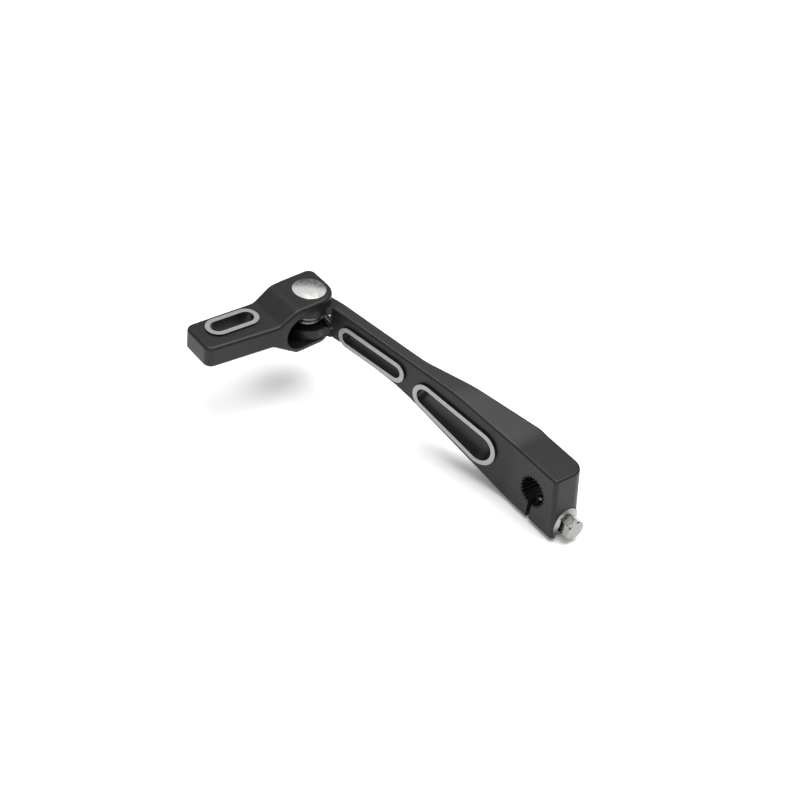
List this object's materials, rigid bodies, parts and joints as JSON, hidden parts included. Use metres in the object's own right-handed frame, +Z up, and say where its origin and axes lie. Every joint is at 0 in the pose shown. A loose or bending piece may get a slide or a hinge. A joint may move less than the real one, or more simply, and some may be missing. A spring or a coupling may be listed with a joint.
{
  "type": "gear shift lever",
  "caption": "Folding motorcycle gear shift lever: a slim black arm with a splined pinch clamp at one end and a sprung folding toe peg at the other.",
  "frame": {"origin": "middle of the splined bore, on its axis, half way through the clamp block", "axes": "+X from the bore towards the fold hinge, +Y along the bore and along the toe peg, away from the engine, +Z up along the fold pivot"},
  "size_m": [0.1475, 0.0965, 0.0471],
  "materials": {
    "black_aluminium": "black satin anodised, machined rims bare",
    "polished_steel": "polished",
    "bronze": "plain turned",
    "spring_steel": "drawn wire, satin",
    "plain_steel": "bright zinc plated"
  },
  "bodies": {
    "arm": {"lever_arm": "black_aluminium", "pivot_bushes": "bronze", "return_spring": "spring_steel", "pinch_bolt": "plain_steel"},
    "toe": {"toe_piece": "black_aluminium", "pivot_pin": "polished_steel", "pin_washer": "plain_steel", "pin_clip": "spring_steel"}
  },
  "joints": [
    {"name": "toe_fold", "type": "hinge", "parent": "arm", "child": "toe", "pos_m": [0.1164, 0.0352, 0.0188], "axis": [0, 0, 1], "range_deg": [0, 60], "stiffness_Nm_per_rad": 0.25, "springref_deg": -34.38, "deforming": ["return_spring"]}
  ]
}
